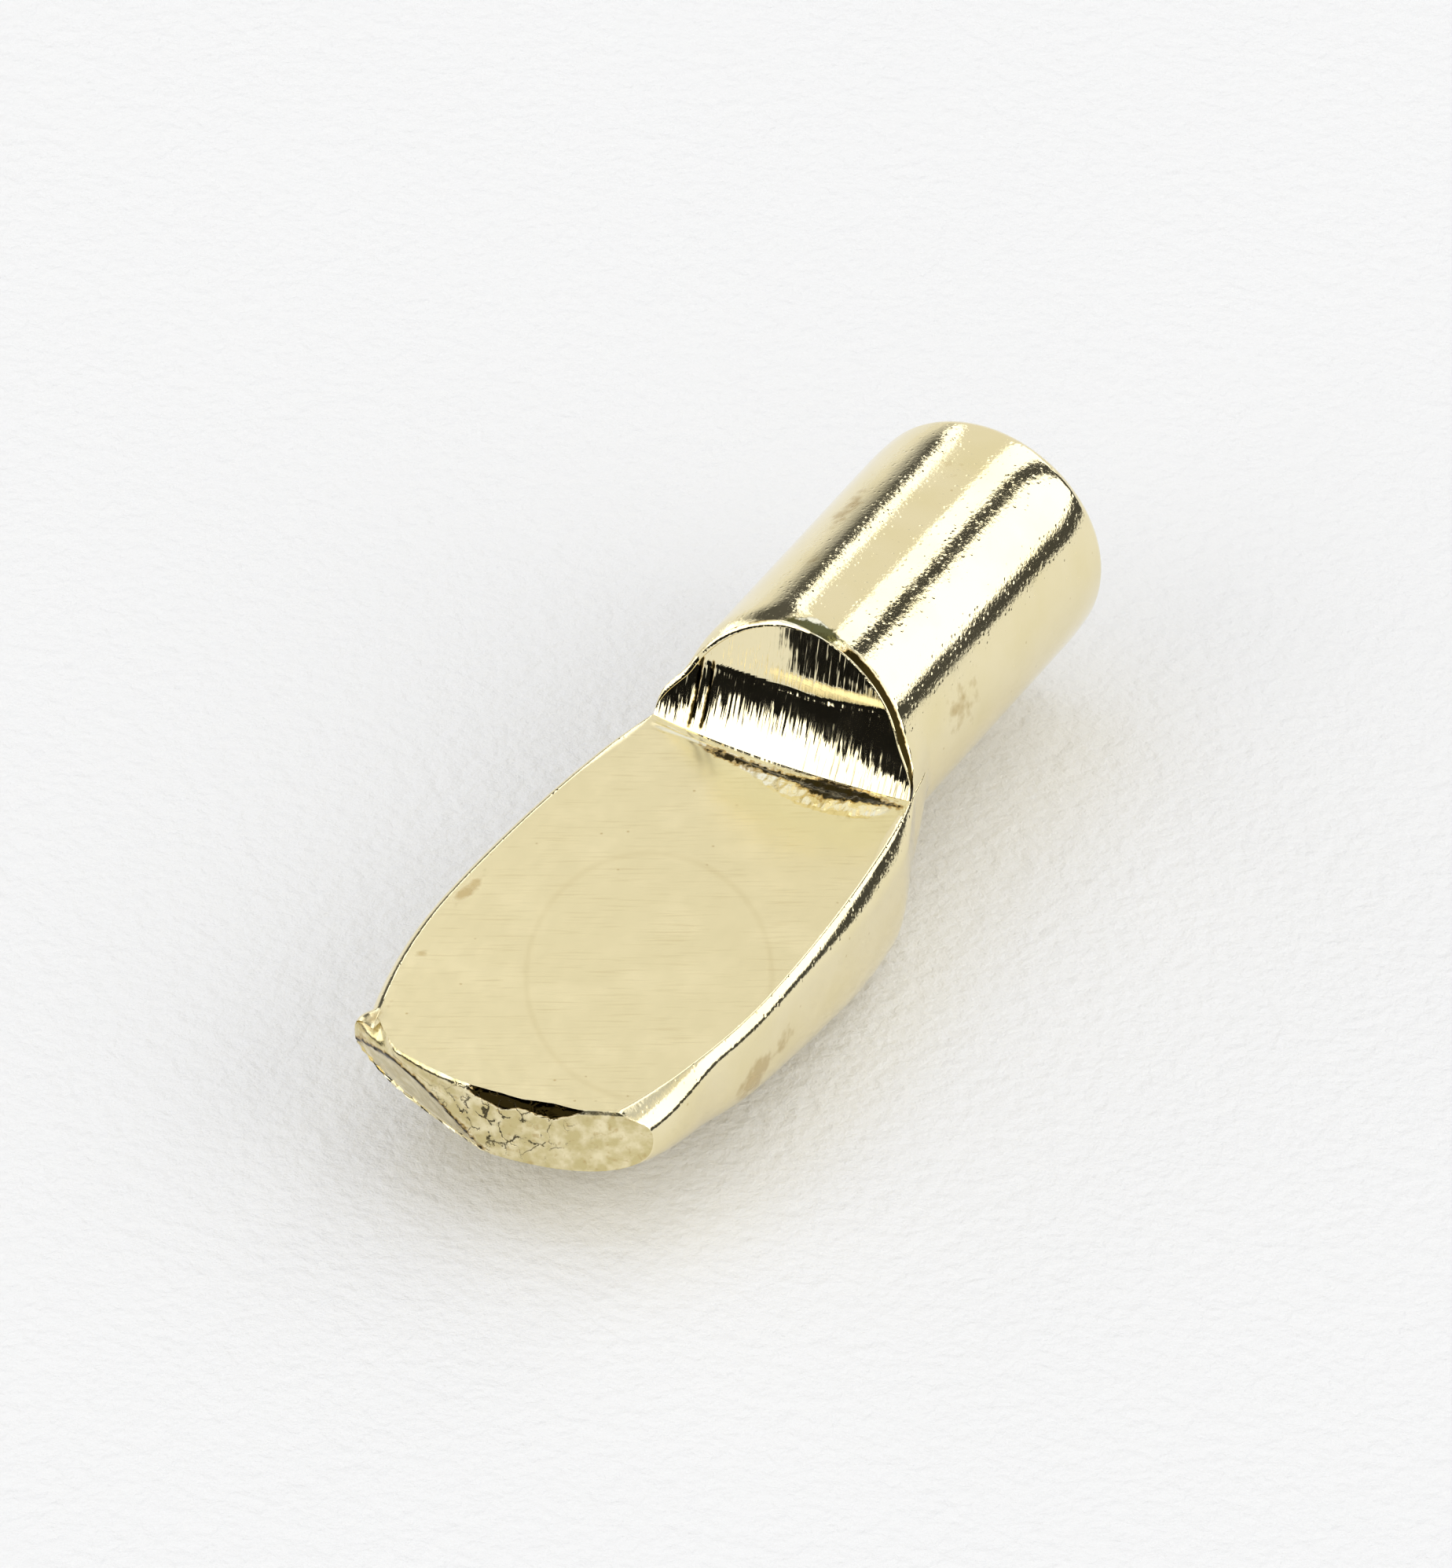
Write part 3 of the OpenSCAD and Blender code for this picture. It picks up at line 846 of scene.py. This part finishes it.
total = None
for name, (_, _, mark, factors) in RELIEF.items():
    scaled = add_node(relief, "VectorMath", {0: spot, 1: factors}, operation="MULTIPLY")
    in_widths = add_node(relief, "Math", {0: 1.0, 1: entry[f"{name} width"]}, operation="DIVIDE")
    noise = add_node(relief, "TexNoise", {"Vector": scaled, "Scale": in_widths, "Detail": 2.0})
    centred = add_node(relief, "Math", {0: noise, 1: 0.5}, operation="SUBTRACT")
    moved = add_node(relief, "Math", {0: centred, 1: entry[f"{name} height"]}, operation="MULTIPLY")
    if mark:
        marked = add_node(relief, "GeometryNodeInputNamedAttribute", {"Name": mark}, data_type="FLOAT")
        moved = add_node(relief, "Math", {0: moved, 1: marked}, operation="MULTIPLY")
    total = add_node(relief, "Math", {0: total, 1: moved}, operation="ADD") if total else moved
normal = add_node(relief, "GeometryNodeInputNormal")
push = add_node(relief, "VectorMath", {0: normal, "Scale": total}, operation="SCALE")
worked = add_node(relief, "GeometryNodeSetPosition", {"Geometry": entry["Geometry"], "Offset": push})
solid = add_node(relief, "GeometryNodeRealizeInstances", {0: worked})
finished = add_node(relief, "GeometryNodeSetMaterial", {"Geometry": solid, "Material": entry["Finish"]})
add_node(relief, "NodeGroupOutput", {0: finished})
print("relief layers:", len(RELIEF))

# %% [markdown]
# ## Bright brass plate
# Thin brass over steel, plated bright after forming: a mirror with a pale, greenish yellow tint. Small pits
# make every reflected edge ragged, the step keeps its drag lines, and where the plate is thin a brown stain
# shows. The patterns come first, each with the size of the real mark in millimetres. The finest are drawn a
# few times coarser than they are, so that they show.

# %% Patterns on the plate
PATTERNS = {
    # name: (size in mm, detail, how many times longer along X, Y and Z, turn about Z in degrees)
    "plate thickness": (1.6, 3.0, (1, 1, 1), 0),
    "stain edge": (0.35, 5.0, (1, 1, 1), 0),
    "shine": (0.9, 3.0, (1, 1, 1), 0),
    "plate grain": (0.09, 3.0, (1, 1, 1), 0),
    "drag hairs": (0.04, 2.0, (1, 20, 20), 0),
    "comb": (0.1, 1.0, (1, 10, 10), 0),
    "rub marks": (0.08, 2.0, (16, 1, 1), 28.6),
    "torn grain": (0.14, 4.0, (1, 1, 1), 0),
    "tear": (0.3, 3.0, (1, 1, 1), 0),
}
plate = bpy.data.materials.new("bright_brass_plate")
plate.use_nodes = True
skin = plate.node_tree
skin.nodes.clear()
point = add_node(skin, "TexCoord").outputs["Object"]
marks = {name: add_node(skin, "Attribute", attribute_name=name).outputs["Fac"] for name in MARKS}

patterns = {}
for name, (size, detail, stretch, turn_z) in PATTERNS.items():
    sockets = {"Vector": point, "Rotation": (0, 0, math.radians(turn_z)), "Scale": stretch}
    laid = add_node(skin, "Mapping", sockets, vector_type="TEXTURE")
    sockets = {"Vector": laid, "Scale": 1 / (size * MM), "Detail": detail}
    patterns[name] = add_node(skin, "TexNoise", sockets, label=name)
print("patterns on the plate:", len(patterns))

# %% [markdown]
# Pits, specks and cracks have hard edges that no noise has, so they come from cells. A pit is a dot in the
# middle of a cell, and only some cells have one. A crack is the line between two cells, bent by the tear's own
# noise. The seat also keeps the faint ring that a drop left when it dried.

# %% Pits, specks, cracks and a ring
DOTS = {
    # name: (cell in mm, radius of the dot's soft edge and of its middle, as shares of a cell, share left empty)
    "pits": (0.14, 0.45, 0.10, 0.6),
    "specks": (0.55, 0.09, 0.03, 0.5),
}
# Cracks: cell, how far the tear bends them and half-width as a share of a cell, and where the tear opens them
CRACK_CELL, CRACK_BEND, CRACK_WIDTH, CRACK_SHUT, CRACK_OPEN = 0.45, 0.6, 0.09, 0.42, 0.50
# Dried ring: middle, radius and half-width in mm, and how much it is squashed
RING_X, RING_Y, RING_R, RING_HALF_W, RING_SQUASH = 1.36, -10.3, 2.8, 0.12, 0.6

for name, (size, edge, middle, empty) in DOTS.items():
    cell = add_node(skin, "TexVoronoi", {"Vector": point, "Scale": 1 / (size * MM)}).outputs
    lottery = add_node(skin, "SeparateColor", {0: cell["Color"]})
    has_dot = add_node(skin, "Math", {0: lottery, 1: empty}, operation="GREATER_THAN")
    sockets = {"Value": cell["Distance"], "From Min": edge, "From Max": middle, "To Max": has_dot}
    patterns[name] = add_node(skin, "MapRange", sockets, interpolation_type="SMOOTHSTEP", label=name)

bent = add_node(skin, "VectorMath", {0: (CRACK_BEND * MM,) * 3, 1: patterns["tear"]}, operation="MULTIPLY")
crack_place = add_node(skin, "VectorMath", {0: point, 1: bent}, operation="ADD")
sockets = {"Vector": crack_place, "Scale": 1 / (CRACK_CELL * MM)}
crack_line = add_node(skin, "TexVoronoi", sockets, feature="DISTANCE_TO_EDGE")
opened = add_node(skin, "MapRange", {"Value": patterns["tear"], "From Min": CRACK_SHUT, "From Max": CRACK_OPEN})
sockets = {"Value": crack_line, "From Min": CRACK_WIDTH, "From Max": 0.0, "To Max": opened}
patterns["cracks"] = add_node(skin, "MapRange", sockets)

sockets = {
    "Vector": point,
    "Location": (RING_X * MM, RING_Y * MM, 0),
    "Rotation": (0, 0, VIEW_AZIMUTH),
    "Scale": (MM, MM / RING_SQUASH, MM),
}
ring_place = add_node(skin, "Mapping", sockets, vector_type="TEXTURE")
from_middle = add_node(skin, "VectorMath", {0: ring_place}, operation="LENGTH").outputs["Value"]
from_ring = add_node(skin, "Math", {0: from_middle, 1: RING_R}, operation="SUBTRACT")
either_way = add_node(skin, "Math", {0: from_ring}, operation="ABSOLUTE")
sockets = {"Value": either_way, "From Min": RING_HALF_W, "From Max": 0.0, "To Max": patterns["plate thickness"]}
patterns["ring"] = add_node(skin, "MapRange", sockets, interpolation_type="SMOOTHSTEP")
print("dots and their cells, mm:", {name: size for name, (size, *_) in DOTS.items()})

# %% [markdown]
# The colour starts as bright brass, a little deeper where the plate is thick. The torn faces took a thinner,
# greyer plate in blotches, and stains go on top. Painted shade follows: dark brown in the cracks, and deep gold
# and dark brown in every crease. Each pattern is added to its mark before it is cut off, so where a mark fades
# only the strongest spots are left, and no patch has a smooth outline.
# Shelves have rubbed the seat to a satin, while the rest stays bright.

# %% Colour and shine
BRASS, BRASS_DEEP = linear("#F1E5BC"), linear("#ECDFB0")
RUBBED_BRASS, TORN_BRASS = linear("#E6DAB0"), linear("#CDBE88")
# The dark brown on the next line is painted shade, for the cracks and the creases
STAIN, CREASE_SHADE_BROWN = linear("#BFA66E"), linear("#30270F")
# The deep gold on the next line is painted shade at the creases' edges
GOLD, CREASE_EDGE_SHADE, OLIVE = linear("#E9D28C"), linear("#B08A38"), linear("#5E5A34")
# Roughness of the bright, rubbed, torn and stained plate, and how it strays with the shine pattern
BRIGHT, SATIN, TORN_DULL, DULL = 0.06, 0.22, 0.18, 0.30
SHINE_STRAY = {"From Min": 0.3, "From Max": 0.7, "To Min": -0.02, "To Max": 0.02}

COLOURS = [
    # (new colour, pattern, from, to, most of it, mark)
    (RUBBED_BRASS, "plate thickness", 0.10, 0.50, 1.0, "pressed"),
    (BRASS_DEEP, "plate thickness", 0.40, 0.75, 1.0, "tumbled"),
    (TORN_BRASS, "stain edge", 0.34, 0.58, 0.9, "torn"),
    (STAIN, "torn grain", 0.58, 0.70, 0.6, "torn"),
    (GOLD, "torn grain", 0.05, 0.35, 0.65, "dented"),
    (OLIVE, "torn grain", -0.25, -0.05, 1.0, "scuffed"),
    (STAIN, "stain edge", 0.0, 0.25, 0.7, "stained"),
    (STAIN, "rub marks", 0.56, 0.75, 0.22, "pressed"),
    (STAIN, "specks", 0.0, 1.0, 0.6, "pressed"),
    (STAIN, "specks", 0.0, 1.0, 0.5, "tumbled"),
    (STAIN, "ring", 0.0, 1.0, 0.22, "pressed"),
    # Painted shade in the cracks, darkening the lower part of the tip's face
    (CREASE_SHADE_BROWN, "cracks", 0.0, 0.40, 0.9, "cracked"),
    # Painted shade in the creases: deep gold at their edges, dark brown inside
    (CREASE_EDGE_SHADE, "torn grain", -0.22, -0.08, 0.7, "creased"),
    (CREASE_SHADE_BROWN, "torn grain", -0.05, 0.08, 1.0, "creased"),
]
colour = BRASS
for new_colour, pattern, low, high, most, mark in COLOURS:
    raised = add_node(skin, "Math", {0: patterns[pattern], 1: marks[mark]}, operation="ADD")
    share = add_node(skin, "MapRange", {"Value": raised, "From Min": 1 + low, "From Max": 1 + high, "To Max": most})
    sockets = {0: share, MIX_A: colour, MIX_B: new_colour}
    colour = add_node(skin, "Mix", sockets, data_type="RGBA", label=pattern).outputs[MIX_RESULT]

dullness = BRIGHT
for rough, mark in ((SATIN, "pressed"), (BRIGHT, "dented"), (TORN_DULL, "torn"), (DULL, "stained")):
    towards = add_node(skin, "Math", {0: rough, 1: dullness}, operation="SUBTRACT")
    dullness = add_node(skin, "Math", {0: towards, 1: marks[mark], 2: dullness}, operation="MULTIPLY_ADD")
stray = add_node(skin, "MapRange", {"Value": patterns["shine"], **SHINE_STRAY})
roughness = add_node(skin, "Math", {0: dullness, 1: stray}, operation="ADD")
print("colours laid over the brass:", len(COLOURS))

# %% [markdown]
# The bump carries what is too fine for the mesh. Each line of the table takes one pattern, stretches it
# between two limits, gives it a height in millimetres, and keeps it to the faces that carry a mark.

# %% Bump of the plate
BUMPS = [
    # (pattern, from, to, height in mm, mark)
    ("plate grain", 0.45, 0.75, 0.0013, "tumbled"),
    ("pits", 0.0, 1.0, -0.003, "tumbled"),
    ("drag hairs", 0.0, 1.0, 0.005, "scraped"),
    ("comb", 0.0, 1.0, 0.03, "combed"),
    ("rub marks", 0.0, 1.0, 0.0004, "pressed"),
    ("torn grain", 0.0, 1.0, 0.009, "torn"),
    ("cracks", 0.0, 1.0, -0.03, "cracked"),
    ("torn grain", 0.0, 1.0, 0.018, "dented"),
    ("torn grain", 0.0, 1.0, 0.03, "scuffed"),
]
height = 0.0
for pattern, low, high, tall, mark in BUMPS:
    sockets = {"Value": patterns[pattern], "From Min": low, "From Max": high, "To Max": tall}
    layer = add_node(skin, "MapRange", sockets, label=f"{pattern}, {mark}")
    height = add_node(skin, "Math", {0: layer, 1: marks[mark], 2: height}, operation="MULTIPLY_ADD")
bumps = add_node(skin, "Bump", {"Height": height, "Strength": 1.0, "Distance": 1.0 * MM})
sockets = {"Base Color": colour, "Metallic": 1.0, "Roughness": roughness, "Normal": bumps}
brass = add_node(skin, "BsdfPrincipled", sockets)
add_node(skin, "OutputMaterial", {"Surface": brass})
print("nodes in the brass plate:", len(skin.nodes))

# %% [markdown]
# ## Finish the pin
# The tree's inputs are set by their identifiers, the result becomes a plain mesh, and the modifier goes.
# The pin then takes the solid's place and rides on its body.

# %% Apply the relief and hand the pin over
modifier = pin.modifiers.new("worked_surface", "NODES")
modifier.node_group = relief
identifiers = {item.name: item.identifier for item in relief.interface.items_tree if item.in_out == "INPUT"}
for name, (width, tall, *_) in RELIEF.items():
    modifier[identifiers[f"{name} width"]] = width * MM
    modifier[identifiers[f"{name} height"]] = tall * MM
modifier[identifiers["Finish"]] = plate
bpy.context.view_layer.update()
finished_mesh = bpy.data.meshes.new_from_object(pin.evaluated_get(bpy.context.evaluated_depsgraph_get()))
pin.modifiers.clear()
pin.data = finished_mesh

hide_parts("shelf_pin")
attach(pin, "root")
print("triangles on the pin:", sum(len(face.vertices) - 2 for face in finished_mesh.polygons))
